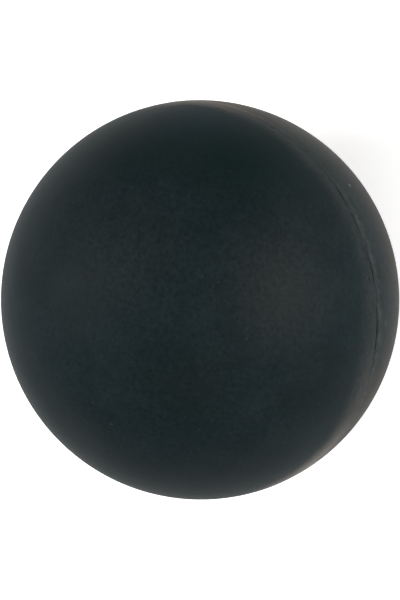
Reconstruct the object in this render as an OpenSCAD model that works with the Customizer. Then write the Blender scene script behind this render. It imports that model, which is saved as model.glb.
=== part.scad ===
// Beach paddle ball: a hollow rubber ball of two moulded half shells that are
// joined rim to rim by a ring of rubber cement.
// The centre of the ball is the origin, the seam lies in the XY plane and the
// poles of the two halves are on the Z axis.

/* [Ball] */
// Outer diameter of the sphere that each half is moulded to
ball_d = 57; // [50:0.5:60]
// Thickness of the rubber wall
wall_t = 3.75; // [3:0.25:6]

/* [Rims] */
// Height that is ground off each half's rim, to roughen it for the cement
rim_trim = 0.3; // [0.15:0.05:0.4]
// Radius of the rolled outer edge of each rim
edge_r = 0.12; // [0.06:0.02:0.3]
// Depth that is buffed off the outside of the seam, which leaves a flat land
land_cut = 0.04; // [0.02:0.01:0.15]

/* [Cement] */
// Thickness of the cement between the rims
film_t = 0.15; // [0.1:0.05:0.3]
// Depth of the cement below the land, which leaves the seam as a fine groove
groove_depth = 0.1; // [0.04:0.02:0.3]
// Radius of the bead that is squeezed out inside the ball
bead_r = 0.8; // [0.4:0.1:1.2]

/* [Hidden] */
$fn = 240;

rubber_colour = [0.13, 0.16, 0.165];
cement_colour = [0.09, 0.1, 0.1];

ball_r = ball_d / 2;
bore_r = ball_r - wall_t;
// Each rim face is half a film of cement from the seam plane
rim_z = film_t / 2;
// Height of the centre of the upper half's spheres, just below the seam plane
centre_z = rim_z - rim_trim;
// Radius of the land on both sides of the seam
land_r = ball_r - land_cut;
// Radius of the bore where it meets the rim face
rim_bore_r = sqrt(bore_r * bore_r - rim_trim * rim_trim);
// How far a cutter reaches past what it cuts
clear = 1;

// What rolling the outer edge takes off a square rim
module rolled_edge_cut() {
    edge_x = land_r - edge_r;
    difference() {
        translate([edge_x, rim_z - clear]) square(edge_r + clear);
        translate([edge_x, rim_z + edge_r]) circle(edge_r);
    }
}

// Section of the upper half: a wall between two spheres, ground flat at the
// rim and buffed to a land beside it
module half_section() {
    difference() {
        intersection() {
            translate([0, centre_z]) circle(ball_r);
            translate([0, rim_z]) square([land_r, ball_r]);
        }
        translate([0, centre_z]) circle(bore_r);
        rolled_edge_cut();
    }
}

module upper_half_shell() {
    color(rubber_colour) rotate_extrude() half_section();
}

module lower_half_shell() {
    color(rubber_colour) mirror([0, 0, 1]) rotate_extrude() half_section();
}

// The cement fills what the two rims leave between them, from the bottom of
// the seam groove to a round bead inside the ball
module seam_cement() {
    film_w = land_r - groove_depth - rim_bore_r;
    color(cement_colour) rotate_extrude() difference() {
        union() {
            translate([rim_bore_r, -rim_z - edge_r]) square([film_w, film_t + 2 * edge_r]);
            translate([rim_bore_r, 0]) circle(bead_r);
        }
        half_section();
        mirror([0, 1]) half_section();
    }
}

upper_half_shell();
lower_half_shell();
seam_cement();
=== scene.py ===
"""Looks of a beach paddle ball: a hollow black rubber ball of two half shells with a cemented seam.

All sizes are in metres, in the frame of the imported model: the seam lies in the XY plane, the poles
are on the Z axis, and the camera is on the -Y side, above the seam. Longitudes are in degrees round
the seam, from -Y towards +X, and latitudes are in degrees over it.
"""

import math

import bpy
import numpy as np
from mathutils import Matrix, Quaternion, Vector, noise


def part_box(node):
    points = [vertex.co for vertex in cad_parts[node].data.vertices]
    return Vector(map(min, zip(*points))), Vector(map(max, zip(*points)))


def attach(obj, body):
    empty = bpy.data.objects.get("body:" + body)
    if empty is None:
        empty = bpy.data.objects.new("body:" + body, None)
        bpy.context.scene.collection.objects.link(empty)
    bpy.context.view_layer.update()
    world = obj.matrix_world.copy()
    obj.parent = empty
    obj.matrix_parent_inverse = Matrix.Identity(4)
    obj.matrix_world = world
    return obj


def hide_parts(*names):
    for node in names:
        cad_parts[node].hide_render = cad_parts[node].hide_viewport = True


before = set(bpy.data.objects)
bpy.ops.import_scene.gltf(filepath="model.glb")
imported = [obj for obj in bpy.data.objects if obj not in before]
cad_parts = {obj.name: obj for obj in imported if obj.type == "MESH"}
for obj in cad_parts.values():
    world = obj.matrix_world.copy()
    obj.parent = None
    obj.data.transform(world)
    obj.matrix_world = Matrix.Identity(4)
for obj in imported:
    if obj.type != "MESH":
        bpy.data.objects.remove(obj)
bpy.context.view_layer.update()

MM = 0.001

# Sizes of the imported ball
upper_low, upper_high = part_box("upper_half_shell")
_, cement_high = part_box("seam_cement")
RIM_Z = upper_low.z
POLE_Z = upper_high.z
LAND_R = upper_high.x
CEMENT_R = cement_high.x
BEAD_R = cement_high.z

# Sizes that a box doesn't give
MOULD_R = 28.5 * MM
WALL_T = 3.75 * MM
EDGE_R = 0.12 * MM
SPHERE_Z = POLE_Z - MOULD_R
BORE_R = MOULD_R - WALL_T
RIM_BORE_R = math.sqrt(BORE_R**2 - (RIM_Z - SPHERE_Z) ** 2)
INSIDE_EDGE_R = LAND_R - 2 * EDGE_R

# How far the lower half lies off the upper one, along X
MISMATCH = 0.02 * MM
# The soft ridge beside the seam that moulding leaves on the lower half, and fainter on the upper one.
# Where the groove is closed, only its least share is left
LIP_HEIGHT = 0.03 * MM
UPPER_LIP_HEIGHT = 0.3 * LIP_HEIGHT
LIP_Z = 0.6 * MM
LIP_W = 0.3 * MM
LIP_LEAST = 0.1
# Nicks in the rims' edges
WEAR_DEPTH = 0.1 * MM
WEAR_W = 0.20 * MM
# Width of the soft change from the sphere to the land
LAND_BLEND = 0.006 * MM
# Longitudes, and how open the seam's groove is there: at 0 cement is smeared over it, at 1 it is as
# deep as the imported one, and above 1 its edges are worn too
OPENNESS = (
    (-160, 0.0), (-156, 0.9), (-146, 0.6), (-133, 1.1), (-126, 0.0),
    (-106, 0.0), (-101, 0.8), (-90, 1.0), (-81, 0.5), (-78, 0.0),
    (-45, 0.0), (-40, 0.17), (-36, 0.27), (-31, 0.45), (-28, 0.75), (-24, 1.2), (-20, 0.9), (-18, 0.4),
    (-16, 0.18), (-13, 0.3), (-11, 0.55), (-8, 0.85), (-5, 0.55), (-2.5, 0.35), (-1, 0.2), (1, 0.3),
    (3, 0.57), (12, 0.47), (16.5, 0.75), (18, 0.0), (36, 0.0), (45, 0.15), (48, 0.0),
    (78, 0.0), (82, 0.9), (92, 0.6), (96, 0.0),
    (121, 0.0), (125, 1.0), (138, 0.5), (150, 1.2), (158, 0.0),
    (170, 0.0), (174, 0.8), (178, 0.0),
)
# Cement smeared over the groove: its height over the land, its width on each side of the seam, and
# how deep its edges sink into the rubber
SMEAR_HEIGHT = 0.003 * MM
SMEAR_W = 0.3 * MM
SMEAR_SINK = 4 * SMEAR_HEIGHT
# Cement in the open groove: how far it reaches under the rims' edges, and how deep it sinks there
CEMENT_REACH = 1.3 * EDGE_R
CEMENT_SINK = 0.2 * EDGE_R
# Longitude, latitude and radius in mm of pits in the buffed belts
PITS = (
    (-10.0, 2.6, 0.30),
    (-2.0, 1.7, 0.28),
    (-4.5, 1.2, 0.25),
    (42.0, 1.3, 0.35),
    (112.0, 1.9, 0.30),
    (140.0, -2.2, 0.35),
    (-150.0, 2.4, 0.30),
    (-95.0, -1.8, 0.30),
)
PIT_DEPTH = 0.06 * MM

# Noise round the seam: strength, waves and own seed of each of its parts
NICK_NOISE = ((0.8, 16, 0), (0.7, 45, 5))
LIP_NOISE = ((0.9, 10, 9), (0.6, 45, 13))
GROOVE_NOISE = ((0.3, 20, 3.7),)
SMEAR_NOISE = ((0.5, 15, 5.1),)
UPPER_SEED = 1.3
LOWER_SEED = 7.9

# Fineness of the meshes: the belt's rings are closer, up to its top. A ring smaller than a point
# becomes one, and edges over the sharp angle stay sharp
SEGMENTS = 600
CAP_RINGS = 56
BELT_RINGS = 40
EDGE_RINGS = 7
RIM_RINGS = 3
BORE_RINGS = 24
BEAD_RINGS = 7
BELT_TOP_Z = 4.5 * MM
POINT_SIZE = 1e-9
SHARP_ANGLE = math.radians(40)

# Charts on the texture: centre and radius of the discs for the outside with its rim and for the
# bore, and centre and both radii of the ring for the cement
OUTSIDE_CHART = (0.43, 0.42)
BORE_CHART = (0.89, 0.1)
CEMENT_CHART = (0.5, 0.28, 0.48)

ANGLES = np.linspace(0, 2 * math.pi, SEGMENTS, endpoint=False)
LONGITUDES = (np.degrees(ANGLES) + 270) % 360 - 180


def on_ball(longitude, latitude):
    """The place on the ball's outside at a longitude and a latitude."""
    a = math.radians(longitude)
    b = math.radians(latitude)
    r = MOULD_R + SPHERE_Z * abs(math.sin(b))
    return r * math.cos(b) * math.sin(a), -r * math.cos(b) * math.cos(a), r * math.sin(b)


def ring_noise(parts, seed=0.0):
    """Smooth noise round the seam that closes on itself."""
    total = np.zeros(SEGMENTS)
    for strength, waves, own_seed in parts:
        total += strength * np.array([
            noise.noise(Vector((math.cos(a) * waves, math.sin(a) * waves, seed + own_seed)))
            for a in ANGLES
        ])
    return total


def groove_share():
    """How open the seam's groove is round the ball, and how worn its edges are."""
    openness = np.interp(LONGITUDES, *zip(*OPENNESS), period=360)
    return np.minimum(openness, 1), np.maximum(openness - 1, 0)


def outer_radius(z):
    """Radius of the outside at a height over the seam: the moulded sphere, blended into the land."""
    sphere = np.sqrt(MOULD_R**2 - (z - SPHERE_Z) ** 2)
    return -LAND_BLEND * np.logaddexp(-sphere / LAND_BLEND, -LAND_R / LAND_BLEND)


def half_section():
    """The upper half's section from pole to rim and up the bore: radii, heights, first bore ring."""
    top = math.asin((BELT_TOP_Z - SPHERE_Z) / MOULD_R)
    cap = np.linspace(math.pi / 2, top, CAP_RINGS, endpoint=False)
    belt_z = np.linspace(BELT_TOP_Z, RIM_Z + EDGE_R, BELT_RINGS, endpoint=False)
    edge = np.linspace(0, -math.pi / 2, EDGE_RINGS)
    rim_r = np.linspace(LAND_R - EDGE_R, RIM_BORE_R, RIM_RINGS + 1)[1:]
    start = math.asin((RIM_Z - SPHERE_Z) / BORE_R)
    bore = np.linspace(start, math.pi / 2, BORE_RINGS)[1:]
    radii = np.concatenate([
        MOULD_R * np.cos(cap),
        outer_radius(belt_z),
        LAND_R - EDGE_R + EDGE_R * np.cos(edge),
        rim_r,
        BORE_R * np.cos(bore),
    ])
    heights = np.concatenate([
        SPHERE_Z + MOULD_R * np.sin(cap),
        belt_z,
        RIM_Z + EDGE_R + EDGE_R * np.sin(edge),
        np.full(len(rim_r), RIM_Z),
        SPHERE_Z + BORE_R * np.sin(bore),
    ])
    return radii, heights, CAP_RINGS + BELT_RINGS + EDGE_RINGS + RIM_RINGS - 1


def lathe(name, points, charts=None, closed=False):
    """A mesh of rings of points, of shape rings, segments, 3.

    A first or last ring of no size becomes one pole vertex. A closed section joins its last ring to
    its first. charts gives each band of faces its place on the texture: the centre of a disc, and
    the radii there of the band's two rings.
    """
    rings, segments = points.shape[:2]
    poles = [not closed and np.ptp(points[i], axis=0).max() < POINT_SIZE for i in (0, -1)]
    vertices = []
    starts = []
    for i in range(rings):
        starts.append(len(vertices))
        single = (i == 0 and poles[0]) or (i == rings - 1 and poles[1])
        vertices.extend(points[i][:1] if single else points[i])
    faces = []
    places = []
    circle = [(math.cos(a), math.sin(a)) for a in np.linspace(0, 2 * math.pi, segments, endpoint=False)]
    for i in range(rings if closed else rings - 1):
        here = starts[i]
        there = starts[(i + 1) % rings]
        u, v, here_r, there_r = charts[i] if charts else (0, 0, 0, 0)
        for j in range(segments):
            k = (j + 1) % segments
            if i == 0 and poles[0]:
                faces.append((here, there + j, there + k))
                corners = ((0, j), (there_r, j), (there_r, k))
            elif i == rings - 2 and poles[1]:
                faces.append((here + j, there, here + k))
                corners = ((here_r, j), (0, j), (here_r, k))
            else:
                faces.append((here + j, there + j, there + k, here + k))
                corners = ((here_r, j), (there_r, j), (there_r, k), (here_r, k))
            places.extend((u + r * circle[c][0], v + r * circle[c][1]) for r, c in corners)
    mesh = bpy.data.meshes.new(name)
    mesh.from_pydata([tuple(vertex) for vertex in vertices], [], faces)
    if charts:
        layer = mesh.uv_layers.new(name="OFBake")
        layer.data.foreach_set("uv", np.array(places, dtype=np.float32).ravel())
    mesh.shade_smooth()
    mesh.set_sharp_from_angle(angle=SHARP_ANGLE)
    mesh.update()
    piece = bpy.data.objects.new(name, mesh)
    bpy.context.scene.collection.objects.link(piece)
    return piece


def disc_charts(radii, heights, bore_from):
    """Two discs on the texture: a large one for the outside and rim, a small one for the bore."""
    steps = np.hypot(np.diff(radii), np.diff(heights))
    run = np.concatenate([[0], np.cumsum(steps)])
    charts = []
    for i in range(len(steps)):
        if i < bore_from:
            centre, radius = OUTSIDE_CHART
            share = run[i:i + 2] / run[bore_from]
        else:
            centre, radius = BORE_CHART
            share = (run[-1] - run[i:i + 2]) / (run[-1] - run[bore_from])
        charts.append((centre, centre, radius * share[0], radius * share[1]))
    return charts


def half_shell(name, side, seed, shift, lip):
    """One half of the ball: side is 1 for the upper half and -1 for the lower, which is mirrored."""
    radii, heights, bore_from = half_section()
    outside = (np.arange(len(radii)) < bore_from) & (radii > INSIDE_EDGE_R)
    share, worn = groove_share()
    nicks = np.clip(ring_noise(NICK_NOISE, seed), 0, 1)
    wear = WEAR_DEPTH * (nicks * share + worn)
    lumps = np.clip(1 + ring_noise(LIP_NOISE, seed), 0, 2)
    lip_height = lip * lumps * (LIP_LEAST + (1 - LIP_LEAST) * share)
    near_edge = outside * np.exp(-(((heights - RIM_Z) / WEAR_W) ** 2))
    near_lip = outside * np.exp(-(((heights - LIP_Z) / LIP_W) ** 2))
    r = radii[:, None] - near_edge[:, None] * wear + near_lip[:, None] * lip_height
    points = np.stack([
        r * np.cos(ANGLES) + shift,
        r * np.sin(ANGLES),
        side * np.broadcast_to(heights[:, None], r.shape),
    ], axis=-1)
    for longitude, latitude, radius in PITS:
        far = np.linalg.norm(points - np.array(on_ball(longitude, latitude)), axis=-1)
        depth = PIT_DEPTH * np.exp(-((far / (radius * MM)) ** 2))
        points *= (1 - depth / MOULD_R)[..., None]
    if side < 0:
        points = points[:, ::-1]
    return lathe(name, points, disc_charts(radii, heights, bore_from))


def seam_ring():
    """The cement: smeared flush or an open groove outside, and a bead inside the ball."""
    share, _ = groove_share()
    filled = 1 - share
    open_depth = (LAND_R - CEMENT_R) * share * (1 + ring_noise(GROOVE_NOISE))
    upper_level = LAND_R + SMEAR_HEIGHT * filled - open_depth
    lower_level = upper_level + MISMATCH * np.cos(ANGLES)
    smear_w = SMEAR_W * filled * (1 + ring_noise(SMEAR_NOISE))
    shoulder_z = RIM_Z + smear_w / 2
    reach_z = RIM_Z + CEMENT_REACH * share + smear_w
    sink = CEMENT_SINK * share + SMEAR_SINK * filled
    bead = np.linspace(math.pi / 2, 3 * math.pi / 2, BEAD_RINGS + 2)[1:-1]
    section = [
        (lower_level - sink, -reach_z),
        (lower_level, -shoulder_z),
        (upper_level, shoulder_z),
        (upper_level - sink, reach_z),
        (INSIDE_EDGE_R, RIM_Z),
        (RIM_BORE_R, RIM_Z),
    ]
    section += [(RIM_BORE_R + BEAD_R * math.cos(a), BEAD_R * math.sin(a)) for a in bead]
    section += [(RIM_BORE_R, -RIM_Z), (INSIDE_EDGE_R, -RIM_Z)]
    section.reverse()
    points = np.stack([
        np.stack([r * np.cos(ANGLES), r * np.sin(ANGLES), np.broadcast_to(z, SEGMENTS)], axis=-1)
        for r, z in section
    ])
    centre, inner, outer = CEMENT_CHART
    bands = np.linspace(inner, outer, len(section) + 1)
    charts = [(centre, centre, bands[i], bands[i + 1]) for i in range(len(section))]
    return lathe("seam_ring", points, charts, closed=True)


def add(tree, kind, inputs=(), **settings):
    """A node of that kind. Each input is a value, or the socket that feeds it."""
    made = tree.nodes.new(kind)
    for key, value in settings.items():
        setattr(made, key, value)
    for key, value in dict(inputs).items():
        if isinstance(value, bpy.types.NodeSocket):
            tree.links.new(value, made.inputs[key])
        else:
            made.inputs[key].default_value = value
    return made


def calc(tree, operation, a, b=0.0, c=0.0):
    """A sum, product or the like of numbers and sockets."""
    return add(tree, "ShaderNodeMath", {0: a, 1: b, 2: c}, operation=operation).outputs[0]


def ramp(tree, value, start, end, low=0.0, high=1.0):
    """value from start to end becomes low to high, with soft ends."""
    inputs = {"Value": value, "From Min": start, "From Max": end, "To Min": low, "To Max": high}
    return add(tree, "ShaderNodeMapRange", inputs, interpolation_type="SMOOTHSTEP").outputs["Result"]


def between(tree, share, low, high):
    """low where share is 0, and high where it is 1."""
    return ramp(tree, share, 0, 1, low, high)


def mix_colour(tree, share, a, b):
    """Colour a where share is 0, and colour b where it is 1."""
    made = add(tree, "ShaderNodeMix", data_type="RGBA")
    wanted = {"Factor_Float": share, "A_Color": a, "B_Color": b}
    for socket in made.inputs:
        value = wanted.get(socket.identifier)
        if isinstance(value, bpy.types.NodeSocket):
            tree.links.new(value, socket)
        elif value is not None:
            socket.default_value = value
    return next(s for s in made.outputs if s.identifier == "Result_Color")


def scaled(tree, colour, share):
    """A colour, brighter or darker."""
    return add(tree, "ShaderNodeVectorMath", {0: colour, "Scale": share}, operation="SCALE").outputs[0]


def cloud(tree, vector, scale, detail, roughness):
    """Noise round 0.5."""
    inputs = {"Vector": vector, "Scale": scale, "Detail": detail, "Roughness": roughness}
    return add(tree, "ShaderNodeTexNoise", inputs).outputs["Fac"]


def new_material(name):
    """A material, its node tree and its shader."""
    material = bpy.data.materials.new(name)
    material.use_nodes = True
    tree = material.node_tree
    return material, tree, tree.nodes["Principled BSDF"]


# Colours of the upper half's mottling, and of paler, darker, cooler and greyer patches
BODY_DARK = (0.0078, 0.0148, 0.0164, 1)
BODY_PALE = (0.0112, 0.0190, 0.0206, 1)
PALE_PATCH = (0.0168, 0.0234, 0.0238, 1)
DARK_PATCH = (0.0024, 0.0108, 0.0110, 1)
COOL_PATCH = (0.0030, 0.0150, 0.0185, 1)
GREY_PATCH = (0.0060, 0.0109, 0.0107, 1)
# Colours of the buffed belts: the upper one, the left of both, and the lower one with its warmer ends.
# The upper and left ones are paler partly as painted sheen
UPPER_BELT = (0.0225, 0.0292, 0.0303, 1)
LEFT_BELT = (0.0390, 0.0410, 0.0405, 1)
LOWER_BELT = (0.0100, 0.0186, 0.0214, 1)
LOWER_ENDS = (0.0136, 0.0152, 0.0144, 1)
# Colours of the lower half away from the seam, and of its lip, paler as a painted highlight on the lip's
# ridge
LOWER_BODY = (0.0140, 0.0172, 0.0175, 1)
LIP_COLOUR = (0.0260, 0.0325, 0.0335, 1)
# Colours of the painted sheen on the seam, a pale highlight painted into the colour, of dust and specks,
# and of the groove's painted shade
PAINTED_SHEEN_COLOUR = (0.1900, 0.1750, 0.1550, 1)
SPECK_COLOUR = (0.13, 0.13, 0.14, 1)
GROOVE_DARK = (0.0015, 0.0035, 0.0040, 1)
GROOVE_PALE = (0.0040, 0.0070, 0.0075, 1)
# Shine of the rubber, roughness of the halves, and the dusty sheen of the lower one
GLOSS = 0.0385
UPPER_ROUGH = 0.58
LOWER_ROUGH = 0.51
LOWER_SHEEN = 0.0795
SHEEN_ROUGH = 0.4
SHEEN_COLOUR = (1.0, 0.845, 0.69, 1)

# Longitude, latitude, radius in mm and strength of dust specks
SPECKS = (
    (16.6, -8.5, 0.22, 1.0),
    (9.5, 53.2, 0.13, 0.11),
    (-16.4, 45.5, 0.12, 0.11),
    (-20.3, 45.7, 0.13, 0.14),
    (-105.2, 64.4, 0.16, 0.19),
    (-116.2, 71.3, 0.13, 0.14),
    (-65.0, 50.7, 0.13, 0.13),
    (36.4, 27.9, 0.12, 0.12),
    (88.0, 50.4, 0.12, 0.12),
    (-14.2, -2.2, 0.30, 0.10),
    (-21.0, -1.8, 0.30, 0.14),
    (-24.1, -5.7, 0.45, 0.15),
)

# Longitude, latitude, radius in mm, strength and colour of patches
UPPER_MARKS = (
    (-6, 35, 11.5, 0.95, PALE_PATCH),
    (46, 63, 11.0, 0.55, PALE_PATCH),
    (42, 18, 16.0, 1.0, DARK_PATCH),
    (68, 32, 10.0, 0.65, DARK_PATCH),
    (-47, 61, 12.0, 0.5, GREY_PATCH),
    (-41, 22, 9.0, 0.7, GREY_PATCH),
    (-130, 60, 9.0, 0.5, PALE_PATCH),
    (75, 70, 10.0, 0.3, PALE_PATCH),
    (9, 26, 8.0, 0.2, UPPER_BELT),
    (60, 13, 11.0, 0.9, COOL_PATCH),
)
LOWER_MARKS = (
    (24, -3, 7.5, 0.65, DARK_PATCH),
    (34, -7.5, 8.0, 0.9, DARK_PATCH),
    (55, -4, 6.5, 0.6, DARK_PATCH),
    # This last patch uses the left belt's colour as painted sheen towards the seam's left end
    (-53, -7, 9.0, 0.6, LEFT_BELT),
)
# How much painted shade darkens the pits
PIT_SHARE = 0.6

# Soft edges of marks, specks and pits, from outside to inside, in shares of their radius
MARK_EDGE = (1.0, 0.0)
SPECK_EDGE = (1.5, 0.5)
PIT_EDGE = (1.2, 0.4)

# Fine dust: how many points lie along a metre, their largest radius and the share of it that is full,
# the range of a point's own random number that makes it show, and the strongest point
DUST_SCALE = 650
DUST_R = 0.16 * MM
DUST_CORE = 0.3
DUST_CHANCE = (0.2, 1.0)
DUST_SHARE = 0.10

# Noise in the rubber: cells along a metre, detail and roughness. The streaks have their own cells along
# each axis
GRAIN = (1600, 4, 0.75)
WANDER = (450, 3, 0.5)
MOTTLE = (160, 4, 0.6)
BLOTCHES = (800, 4, 0.7)
STREAKS = (1.0, 4, 0.6)
STREAK_CELLS = (450, 450, 2600)
# The part of the noise's range that is used
NOISE_SPAN = (0.3, 0.7)
STREAK_SPAN = (0.32, 0.68)
PAINTED_SHEEN_STREAK_SPAN = (0.3, 0.65)
# What the noise does: factors on the shade, a change of roughness, bumps, and how far edges wander
BLOTCH_SHADES = (0.75, 1.25)
STREAK_SHADES = (0.5, 1.25)
GRAIN_SHADE = (1.6, 0.2)
GRAIN_ROUGH = 0.05
BUMP_STRENGTH = 0.35
BUMP_HEIGHT = 0.03 * MM
WANDER_Z = 0.8 * MM

# In these names X, Y and Z say along which axis a shade changes, from where it begins to where it is
# full. ENDS_X, WARM_X and the painted sheen's end span along X run to both sides. Pairs of other values
# belong to the two ends of such a change
SIDES_X = (-10 * MM, 10 * MM)
ENDS_X = (14 * MM, 25 * MM)
SEAM_Z = (0.1 * MM, -0.1 * MM)
# The upper belt, paler partly as painted sheen: it is higher and stronger on the left
BELT_GROWS_X = (4 * MM, -12 * MM)
BELT_TOPS = (3.4 * MM, 5.4 * MM)
BELT_FULL = 0.8 * MM
BELT_SHARES = (0.9, 1.15)
LEFT_BELT_X = (-12 * MM, -19 * MM)
# The lower half: warmer ends of its belt, its body, and black at the pole and on the back
WARM_MIDDLE = -2 * MM
WARM_X = (9 * MM, 18 * MM)
WARM_TOPS = (0.0, -2.5 * MM)
WARM_FULL = -5 * MM
LOWER_BODY_Z = (-4 * MM, -8 * MM)
BLACK_POLE_Z = (-15 * MM, -24 * MM)
BLACK_BACK_Y = (-4 * MM, 10 * MM)
BLACK_SHARE = 0.85
# The lower half's lip, paler as a painted highlight on its ridge, and a dark strip under it on the right
PALE_LIP_Z = (-1.8 * MM, -0.7 * MM)
LEFT_LIP_X = (-16 * MM, -22 * MM)
STRIP_TOP_Z = (-0.8 * MM, -1.5 * MM)
STRIP_FOOT_Z = (-3.2 * MM, -2.0 * MM)
STRIP_X = (10 * MM, 18 * MM)
STRIP_SHARE = 0.5
# The painted sheen, a pale highlight painted into the colour at the seam's ends: shares are for the
# upper and lower half, and tops and factors for its left and right
PAINTED_SHEEN_LEFT_X = (-21 * MM, -29.5 * MM)
PAINTED_SHEEN_LEFT_SHARES = (0.84, 0.52)
PAINTED_SHEEN_RIGHT_X = (19.5 * MM, 27.5 * MM)
PAINTED_SHEEN_RIGHT_SHARES = (0.46, 0.66)
PAINTED_SHEEN_FRONT_Y = (3 * MM, -5 * MM)
PAINTED_SHEEN_BACK_Y = (-12 * MM, 0.0)
PAINTED_SHEEN_BACK_SHARE = 0.12
PAINTED_SHEEN_TOPS = (4.6 * MM, 3.0 * MM)
PAINTED_SHEEN_END_X = (25 * MM, 28.5 * MM)
PAINTED_SHEEN_END_RISE = 2.5 * MM
PAINTED_SHEEN_FULL = 0.3 * MM
PAINTED_SHEEN_FOOT_Z = (-2.4 * MM, -0.4 * MM)
PAINTED_SHEEN_DIM = (0.88, 0.6)
PAINTED_SHEEN_BRIGHT = (1.06, 1.2)
# Painted shade on the rims' edges where they fall into the groove, and cement that is flush: radii, and
# the painted shade's reach from the seam
GROOVE_SHADE_RADII = (LAND_R - 0.025 * MM, LAND_R - 0.06 * MM)
GROOVE_SHADE_SHARE = 0.85
GROOVE_SHADE_Z = (0.5 * MM, 0.3 * MM)
FLUSH_RADII = (LAND_R - 0.07 * MM, LAND_R - 0.015 * MM)


def marked(tree, place, colour, marks, edge):
    """A colour with round marks on it, which have soft edges."""
    for longitude, latitude, radius, strength, tint in marks:
        inputs = {0: place, 1: on_ball(longitude, latitude)}
        far = add(tree, "ShaderNodeVectorMath", inputs, operation="DISTANCE").outputs["Value"]
        outer, inner = (share * radius * MM for share in edge)
        colour = mix_colour(tree, ramp(tree, far, outer, inner, 0.0, strength), colour, tint)
    return colour


def dust(tree, place):
    """Fine dust: scattered points of different sizes and strengths."""
    points = add(tree, "ShaderNodeTexVoronoi", {"Vector": place, "Scale": DUST_SCALE}).outputs
    reach = DUST_R * DUST_SCALE
    point = ramp(tree, points["Distance"], reach, DUST_CORE * reach)
    chance = add(tree, "ShaderNodeSeparateColor", {0: points["Color"]}).outputs[0]
    return calc(tree, "MULTIPLY", point, ramp(tree, chance, *DUST_CHANCE, 0.0, DUST_SHARE))


def seam_painted_sheen(tree, x, y, level, lower, streaks):
    """Painted sheen on the seam, a pale highlight painted into the colour: strong at both ends of the X
    axis, weak on the back, none in front.
    """
    left_share = between(tree, lower, *PAINTED_SHEEN_LEFT_SHARES)
    right_share = between(tree, lower, *PAINTED_SHEEN_RIGHT_SHARES)
    left = calc(tree, "MULTIPLY", ramp(tree, x, *PAINTED_SHEEN_LEFT_X), left_share)
    right = calc(tree, "MULTIPLY", ramp(tree, x, *PAINTED_SHEEN_RIGHT_X), right_share)
    front = calc(tree, "MULTIPLY", calc(tree, "ADD", left, right), ramp(tree, y, *PAINTED_SHEEN_FRONT_Y))
    back = ramp(tree, y, *PAINTED_SHEEN_BACK_Y, 0.0, PAINTED_SHEEN_BACK_SHARE)
    share = calc(tree, "MAXIMUM", front, back)
    side = ramp(tree, x, *SIDES_X)
    end_rise = ramp(tree, calc(tree, "ABSOLUTE", x), *PAINTED_SHEEN_END_X, 0.0, PAINTED_SHEEN_END_RISE)
    top = calc(tree, "ADD", between(tree, side, *PAINTED_SHEEN_TOPS), end_rise)
    rise = ramp(tree, level, top, PAINTED_SHEEN_FULL)
    fall = ramp(tree, level, *PAINTED_SHEEN_FOOT_Z)
    crest = calc(tree, "MULTIPLY", share, calc(tree, "MINIMUM", rise, fall))
    dim = between(tree, side, *PAINTED_SHEEN_DIM)
    bright = between(tree, side, *PAINTED_SHEEN_BRIGHT)
    return calc(tree, "MULTIPLY", crest, ramp(tree, streaks, *PAINTED_SHEEN_STREAK_SPAN, dim, bright))


def upper_shade(tree, place, x, level, body_colour, streaky):
    """The upper half: mottled black with paler and darker patches, and a greyer buffed belt along the
    seam, paler partly as painted sheen.
    """
    colour = marked(tree, place, body_colour, UPPER_MARKS, MARK_EDGE)
    belt_top = ramp(tree, x, *BELT_GROWS_X, *BELT_TOPS)
    belt = calc(tree, "MULTIPLY", ramp(tree, level, belt_top, BELT_FULL), streaky)
    belt = calc(tree, "MULTIPLY", belt, ramp(tree, x, *BELT_GROWS_X, *BELT_SHARES))
    # The belt is paler still on the left, partly as painted sheen towards the seam's left end
    belt_colour = mix_colour(tree, ramp(tree, x, *LEFT_BELT_X), UPPER_BELT, LEFT_BELT)
    return mix_colour(tree, belt, colour, belt_colour)


def lower_shade(tree, place, x, y, level, ends, body_colour, streaky):
    """The lower half: blotched grey, black at the pole and on the back, with a painted highlight on the
    lip at the seam.
    """
    off_middle = calc(tree, "ABSOLUTE", calc(tree, "SUBTRACT", x, WARM_MIDDLE))
    warm_top = ramp(tree, x, *SIDES_X, *WARM_TOPS)
    warm = ramp(tree, level, warm_top, WARM_FULL)
    warm = calc(tree, "MULTIPLY", ramp(tree, off_middle, *WARM_X), warm)
    colour = mix_colour(tree, warm, LOWER_BELT, LOWER_ENDS)
    body = calc(tree, "MAXIMUM", ramp(tree, level, *LOWER_BODY_Z), ends)
    colour = mix_colour(tree, body, colour, LOWER_BODY)
    pole = ramp(tree, level, *BLACK_POLE_Z, 0.0, BLACK_SHARE)
    back = ramp(tree, y, *BLACK_BACK_Y, 0.0, BLACK_SHARE)
    colour = mix_colour(tree, calc(tree, "MAXIMUM", pole, back), colour, body_colour)
    # Painted highlight on the lip's ridge
    lip = calc(tree, "MULTIPLY", streaky, ramp(tree, level, *PALE_LIP_Z))
    lip_colour = mix_colour(tree, ramp(tree, x, *LEFT_LIP_X), LIP_COLOUR, LEFT_BELT)
    colour = mix_colour(tree, lip, colour, lip_colour)
    colour = marked(tree, place, colour, LOWER_MARKS, MARK_EDGE)
    strip_top = ramp(tree, level, *STRIP_TOP_Z)
    strip = calc(tree, "MINIMUM", strip_top, ramp(tree, level, *STRIP_FOOT_Z))
    strip = calc(tree, "MULTIPLY", strip, ramp(tree, x, *STRIP_X, 0.0, STRIP_SHARE))
    colour = mix_colour(tree, strip, colour, DARK_PATCH)
    blotches = ramp(tree, cloud(tree, place, *BLOTCHES), *NOISE_SPAN, *BLOTCH_SHADES)
    return scaled(tree, colour, blotches)


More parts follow.
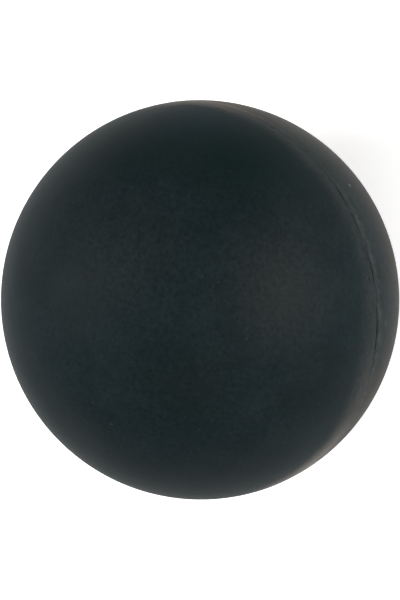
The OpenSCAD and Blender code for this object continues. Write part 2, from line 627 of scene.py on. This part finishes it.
def surface(tree, place):
    """Colour, roughness and grain of the ball's outside."""
    axes = add(tree, "ShaderNodeSeparateXYZ", {0: place}).outputs
    x = axes["X"]
    y = axes["Y"]
    z = axes["Z"]
    wander = calc(tree, "MULTIPLY_ADD", cloud(tree, place, *WANDER), 2 * WANDER_Z, -WANDER_Z)
    level = calc(tree, "ADD", z, wander)
    lower = ramp(tree, z, *SEAM_Z)
    ends = ramp(tree, calc(tree, "ABSOLUTE", x), *ENDS_X)
    stretch = {0: place, 1: STREAK_CELLS}
    stretched = add(tree, "ShaderNodeVectorMath", stretch, operation="MULTIPLY").outputs[0]
    streaks = cloud(tree, stretched, *STREAKS)
    streaky = ramp(tree, streaks, *STREAK_SPAN, *STREAK_SHADES)
    mottle = ramp(tree, cloud(tree, place, *MOTTLE), *NOISE_SPAN)
    body_colour = mix_colour(tree, mottle, BODY_DARK, BODY_PALE)
    upper_colour = upper_shade(tree, place, x, level, body_colour, streaky)
    lower_colour = lower_shade(tree, place, x, y, level, ends, body_colour, streaky)
    colour = mix_colour(tree, lower, upper_colour, lower_colour)
    # Painted sheen: a pale highlight painted over the seam's colour
    painted_sheen = seam_painted_sheen(tree, x, y, level, lower, streaks)
    colour = mix_colour(tree, painted_sheen, colour, PAINTED_SHEEN_COLOUR)
    grain = cloud(tree, place, *GRAIN)
    colour = scaled(tree, colour, calc(tree, "MULTIPLY_ADD", grain, *GRAIN_SHADE))
    sleek = calc(tree, "MULTIPLY", lower, calc(tree, "SUBTRACT", 1.0, ends))
    rough = between(tree, sleek, UPPER_ROUGH, LOWER_ROUGH)
    rough = calc(tree, "ADD", rough, ramp(tree, grain, *NOISE_SPAN, -GRAIN_ROUGH, GRAIN_ROUGH))
    return colour, rough, grain


def from_axis(tree, place):
    """Distance from the Z axis."""
    flat = add(tree, "ShaderNodeVectorMath", {0: place, 1: (1, 1, 0)}, operation="MULTIPLY").outputs[0]
    return add(tree, "ShaderNodeVectorMath", {0: flat}, operation="LENGTH").outputs["Value"]


def groove_painted_shade(tree, place):
    """Painted shade on the edges of the rims, where they fall away into the groove."""
    height = calc(tree, "ABSOLUTE", add(tree, "ShaderNodeSeparateXYZ", {0: place}).outputs["Z"])
    sunk = ramp(tree, from_axis(tree, place), *GROOVE_SHADE_RADII, 0.0, GROOVE_SHADE_SHARE)
    return calc(tree, "MULTIPLY", sunk, ramp(tree, height, *GROOVE_SHADE_Z))


def feed(tree, shader, colour, rough, grain):
    """Feeds a rubber's shader. The grain is its bump."""
    inputs = {"Height": grain, "Strength": BUMP_STRENGTH, "Distance": BUMP_HEIGHT}
    bump = add(tree, "ShaderNodeBump", inputs)
    tree.links.new(colour, shader.inputs["Base Color"])
    tree.links.new(rough, shader.inputs["Roughness"])
    tree.links.new(bump.outputs["Normal"], shader.inputs["Normal"])
    shader.inputs["Specular IOR Level"].default_value = GLOSS


def shell_rubber(name, sheen):
    """Matte black rubber with specks, dust, and painted shade in its pits and at the groove. sheen is
    for a dusty half.
    """
    material, tree, shader = new_material(name)
    place = add(tree, "ShaderNodeTexCoord").outputs["Object"]
    colour, rough, grain = surface(tree, place)
    specks = [(*speck, SPECK_COLOUR) for speck in SPECKS]
    colour = marked(tree, place, colour, specks, SPECK_EDGE)
    colour = mix_colour(tree, dust(tree, place), colour, SPECK_COLOUR)
    # Painted shade in the pits and on the rims' edges at the groove
    pits = [(*pit, PIT_SHARE, GROOVE_PALE) for pit in PITS]
    colour = marked(tree, place, colour, pits, PIT_EDGE)
    colour = mix_colour(tree, groove_painted_shade(tree, place), colour, GROOVE_PALE)
    feed(tree, shader, colour, rough, grain)
    shader.inputs["Sheen Weight"].default_value = sheen
    shader.inputs["Sheen Roughness"].default_value = SHEEN_ROUGH
    shader.inputs["Sheen Tint"].default_value = SHEEN_COLOUR
    return material


def cement_rubber():
    """Rubber cement: painted shade makes it dark at the bottom of the groove, and it is like the shells
    where it is flush.
    """
    material, tree, shader = new_material("cement_rubber")
    place = add(tree, "ShaderNodeTexCoord").outputs["Object"]
    flush = ramp(tree, from_axis(tree, place), *FLUSH_RADII)
    colour, rough, grain = surface(tree, place)
    # Painted shade at the bottom of the groove
    deep = mix_colour(tree, grain, GROOVE_DARK, GROOVE_PALE)
    feed(tree, shader, mix_colour(tree, flush, deep, colour), rough, grain)
    return material


def dress():
    """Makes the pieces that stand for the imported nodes."""
    upper_rubber = shell_rubber("upper_rubber", 0.0)
    lower_rubber = shell_rubber("lower_rubber", LOWER_SHEEN)
    upper = half_shell("upper_half", 1, UPPER_SEED, 0.0, UPPER_LIP_HEIGHT)
    lower = half_shell("lower_half", -1, LOWER_SEED, MISMATCH, LIP_HEIGHT)
    for piece, node, slot, material in (
        (upper, "upper_half_shell", "shell_rubber", upper_rubber),
        (lower, "lower_half_shell", "shell_rubber", lower_rubber),
        (seam_ring(), "seam_cement", "cement_rubber", cement_rubber()),
    ):
        piece.data.materials.append(material)
        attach(piece, "root")
        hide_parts(node)


# The photograph's view. The sensor and the lens are in mm
CAMERA_ELEVATION = math.radians(56.25)
CAMERA_ROLL = math.radians(-109.5)
CAMERA_DISTANCE = 12 * MOULD_R
CLIP_START = 0.01
SENSOR = 36.0
LENS = 143.62

# Lamps: name, turn to the picture's right and lift to its top in degrees, distance, size, level, colour
LAMPS = (
    ("right_softbox", 48, 0, 0.65, 0.26, 0.77, (1.0, 0.93, 0.90)),
    ("left_softbox", -72, 0, 0.65, 0.30, 0.99, (1.0, 1.0, 1.0)),
    ("front_softbox", 0, -35, 0.70, 0.50, 0.385, (0.92, 0.97, 1.0)),
)

# The floor with its cove and wall, its paint, the glow that lifts the paint to white, and the room
FLOOR_R = 1.2
FLOOR_INNER_R = 0.3
FLOOR_SEGMENTS = 96
COVE_R = 0.5
COVE_RINGS = 12
WALL_HEIGHT = 0.9
FLOOR_COLOUR = (0.81, 0.80, 0.79, 1)
FLOOR_LIFT = 0.72
ROOM_COLOUR = (1, 1, 1, 1)
ROOM_LEVEL = 0.02


def camera_axes():
    """Towards the camera, to the picture's right and to its top, and the camera's turn."""
    towards = Vector((0, -math.cos(CAMERA_ELEVATION), math.sin(CAMERA_ELEVATION)))
    turn = (-towards).to_track_quat("-Z", "Y") @ Quaternion((0, 0, 1), CAMERA_ROLL)
    return towards, turn @ Vector((1, 0, 0)), turn @ Vector((0, 1, 0)), turn


def camera():
    """The photograph's camera."""
    towards, _, _, turn = camera_axes()
    data = bpy.data.cameras.new("camera")
    data.sensor_width = SENSOR
    data.lens = LENS
    data.clip_start = CLIP_START
    made = bpy.data.objects.new("camera", data)
    bpy.context.scene.collection.objects.link(made)
    made.location = towards * CAMERA_DISTANCE
    made.rotation_mode = "QUATERNION"
    made.rotation_quaternion = turn
    bpy.context.scene.camera = made


def softbox(name, right_turn, lift, distance, size, level, colour):
    """A square lamp, turned from the camera to the picture's right and then to its top.

    level is what a white sheet that faces the lamp at the ball would show.
    """
    towards, right, up, _ = camera_axes()
    angle = math.radians(right_turn)
    rise = math.radians(lift)
    side = towards * math.cos(angle) + right * math.sin(angle)
    way = side * math.cos(rise) + up * math.sin(rise)
    data = bpy.data.lights.new(name, "AREA")
    data.shape = "SQUARE"
    data.size = size
    data.color = colour
    data.energy = level * math.pi**2 * distance**2
    made = bpy.data.objects.new(name, data)
    bpy.context.scene.collection.objects.link(made)
    made.location = way * distance
    made.rotation_mode = "QUATERNION"
    made.rotation_quaternion = (-way).to_track_quat("-Z", "Y")


def floor_paint():
    """Pale matte paint. The camera and reflections see it glow, but the glow lights nothing."""
    material, tree, _ = new_material("floor")
    tree.nodes.clear()
    path = add(tree, "ShaderNodeLightPath").outputs
    seen = calc(tree, "MAXIMUM", path["Is Camera Ray"], path["Is Glossy Ray"])
    seen = calc(tree, "MAXIMUM", seen, path["Is Transmission Ray"])
    matte = add(tree, "ShaderNodeBsdfDiffuse", {"Color": FLOOR_COLOUR})
    glow = add(tree, "ShaderNodeEmission", {"Strength": calc(tree, "MULTIPLY", seen, FLOOR_LIFT)})
    both = add(tree, "ShaderNodeAddShader", {0: matte.outputs[0], 1: glow.outputs[0]})
    add(tree, "ShaderNodeOutputMaterial", {"Surface": both.outputs[0]})
    return material


def studio():
    """A pale floor that curves up into a wall all round, and a dim even room."""
    angles = np.linspace(0, 2 * math.pi, FLOOR_SEGMENTS, endpoint=False)
    floor_z = -POLE_Z
    section = [(0.0, floor_z), (FLOOR_INNER_R, floor_z)]
    for a in np.linspace(-math.pi / 2, 0, COVE_RINGS):
        section.append((FLOOR_R + COVE_R * math.cos(a), floor_z + COVE_R * (1 + math.sin(a))))
    section.append((FLOOR_R + COVE_R, floor_z + WALL_HEIGHT))
    points = np.array([[(r * math.cos(a), r * math.sin(a), z) for a in angles] for r, z in section])
    floor = lathe("floor", points)
    floor.data.materials.append(floor_paint())
    world = bpy.data.worlds.new("room")
    world.use_nodes = True
    sky = world.node_tree.nodes["Background"]
    sky.inputs["Color"].default_value = ROOM_COLOUR
    sky.inputs["Strength"].default_value = ROOM_LEVEL
    bpy.context.scene.world = world


bpy.context.scene.view_settings.view_transform = "Standard"
camera()
for lamp in LAMPS:
    softbox(*lamp)
studio()
dress()
